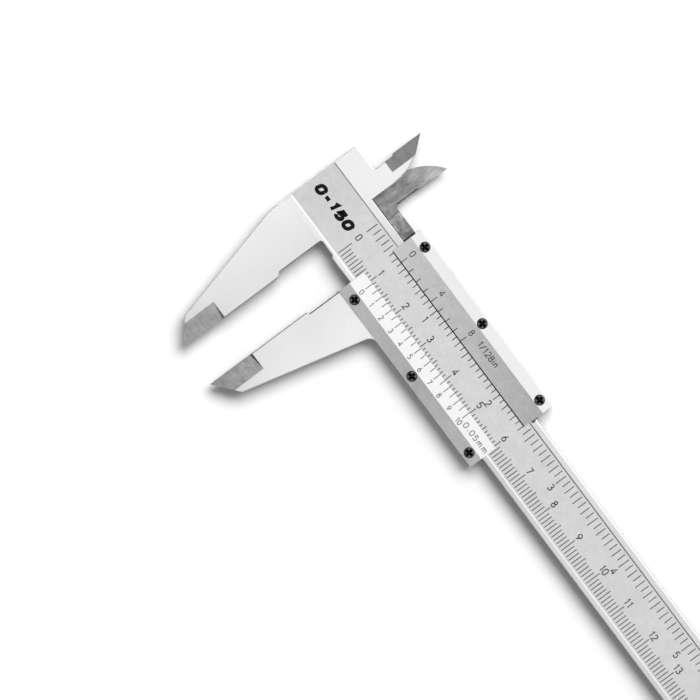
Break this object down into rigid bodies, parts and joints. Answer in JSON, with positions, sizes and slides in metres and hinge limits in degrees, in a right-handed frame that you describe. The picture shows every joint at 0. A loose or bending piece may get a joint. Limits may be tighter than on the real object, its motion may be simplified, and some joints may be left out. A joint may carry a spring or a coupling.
{
  "type": "vernier caliper",
  "caption": "Steel vernier caliper with outside jaws, inside jaws and depth rod; a slider with metric and inch verniers runs on a graduated beam.",
  "frame": {"origin": "centre of the fixed outside jaw's measuring face, at the middle of the jaw's thickness", "axes": "+X along the beam from the head to its free end, +Y across the beam towards the inside jaws, +Z out of the scale face; the caliper lies on its back"},
  "size_m": [0.2412, 0.0772, 0.0067],
  "materials": {
    "satin_chrome": "satin chrome plate over hardened steel",
    "ground_steel": "bare ground steel, darker and cross-brushed",
    "spring_steel": "dark spring steel",
    "black_oxide": "black oxide screws",
    "mark_ink": "dark filling of the engraved scales"
  },
  "bodies": {
    "beam_body": {"beam": "satin_chrome", "end_stop_plate": "satin_chrome", "end_stop_screw_1": "ground_steel", "end_stop_screw_2": "ground_steel"},
    "slider": {"slider_body": "satin_chrome", "slider_inside_jaw": "ground_steel", "inch_vernier_plate": "satin_chrome", "metric_vernier_plate": "satin_chrome", "inch_plate_screw_1": "black_oxide", "inch_plate_screw_2": "black_oxide", "inch_plate_screw_3": "black_oxide", "metric_plate_screw_1": "black_oxide", "metric_plate_screw_2": "black_oxide", "metric_plate_screw_3": "black_oxide", "gib_strip": "spring_steel", "gib_set_screw_1": "black_oxide", "gib_set_screw_2": "black_oxide", "depth_rod": "ground_steel", "depth_rod_rivet_1": "ground_steel", "depth_rod_rivet_2": "ground_steel"}
  },
  "joints": [
    {"name": "slider_slide", "type": "slide", "parent": "beam_body", "child": "slider", "axis": [1, 0, 0], "range_m": [-0.01085, 0.14015]}
  ]
}
